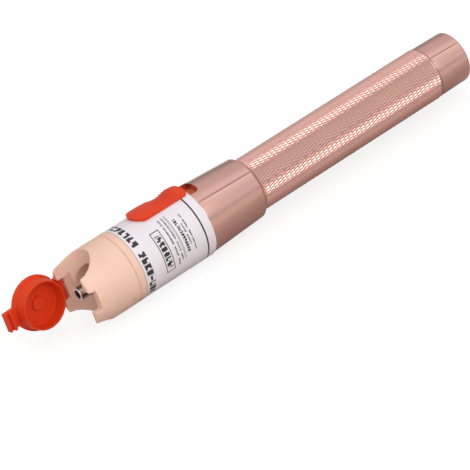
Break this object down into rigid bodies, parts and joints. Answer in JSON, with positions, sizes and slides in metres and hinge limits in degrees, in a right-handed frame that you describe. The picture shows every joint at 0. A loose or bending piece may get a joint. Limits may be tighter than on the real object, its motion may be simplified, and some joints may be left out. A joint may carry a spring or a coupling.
{
  "type": "visual fault locator",
  "caption": "Pen-type fibre tester with a hinged dust cap over a slotted nose and ferrule port, a thumb slide switch, and a knurled battery barrel with a screw-on tail cap.",
  "frame": {"origin": "middle of the optical port's mouth, on the pen's axis", "axes": "+X along the pen from the port to the tail cap, +Z towards the slide switch, +Y towards the jaw that carries the dust cap's hinge"},
  "size_m": [0.1953, 0.0265, 0.0277],
  "materials": {
    "nose_plastic": "satin moulded plastic",
    "orange_plastic": "semi-gloss moulded plastic",
    "rose_aluminium": "anodised, turned and knurled",
    "label_film": "printed film",
    "port_chrome": "polished",
    "steel": "bright nickel",
    "ceramic": "polished ceramic",
    "brass": "turned",
    "lens_glass": "clear",
    "dark_plastic": "moulded",
    "board_laminate": "solder mask",
    "capacitor_sleeve": "sleeved",
    "trimmer_blue": "moulded",
    "black_rubber": "smooth",
    "cell_wrap": "plain wrap"
  },
  "bodies": {
    "pen": {"nose_shroud": "nose_plastic", "hinge_pin": "steel", "ferrule_barrel": "port_chrome", "ferrule_nut": "steel", "ceramic_sleeve": "ceramic", "laser_housing": "brass", "collimating_lens": "lens_glass", "focus_spring": "steel", "laser_diode": "brass", "diode_ring": "brass", "front_tube": "nose_plastic", "label_sleeve": "label_film", "slide_switch": "steel", "circuit_board": "board_laminate", "driver_chip": "dark_plastic", "filter_capacitor": "capacitor_sleeve", "trim_resistor": "trimmer_blue", "board_carrier": "dark_plastic", "board_screws": "steel", "front_contact": "steel", "front_o_ring": "black_rubber", "barrel": "rose_aluminium", "cell_front": "cell_wrap", "cell_rear": "cell_wrap"},
    "cap": {"dust_cap": "orange_plastic"},
    "slider": {"slide_knob": "orange_plastic", "switch_lever": "dark_plastic"},
    "spring_seat": {"tail_spring": "steel"},
    "tail": {"tail_cap": "rose_aluminium", "tail_o_ring": "black_rubber"}
  },
  "joints": [
    {"name": "cap_hinge", "type": "hinge", "parent": "pen", "child": "cap", "pos_m": [-0.0001, 0.01, 0], "axis": [0, 0, 1], "range_deg": [-20, 85]},
    {"name": "switch_slide", "type": "slide", "parent": "pen", "child": "slider", "axis": [1, 0, 0], "range_m": [0, 0.004]},
    {"name": "tail_travel", "type": "slide", "parent": "pen", "child": "spring_seat", "axis": [1, 0, 0], "range_m": [0, 0.007]},
    {"name": "tail_turn", "type": "hinge", "parent": "spring_seat", "child": "tail", "pos_m": [0.16, 0, 0], "axis": [1, 0, 0], "range_deg": [0, 2520]}
  ],
  "couplings": [
    {"joint": "tail_travel", "follows": "tail_turn", "m_per_rad": 0.00015915}
  ]
}
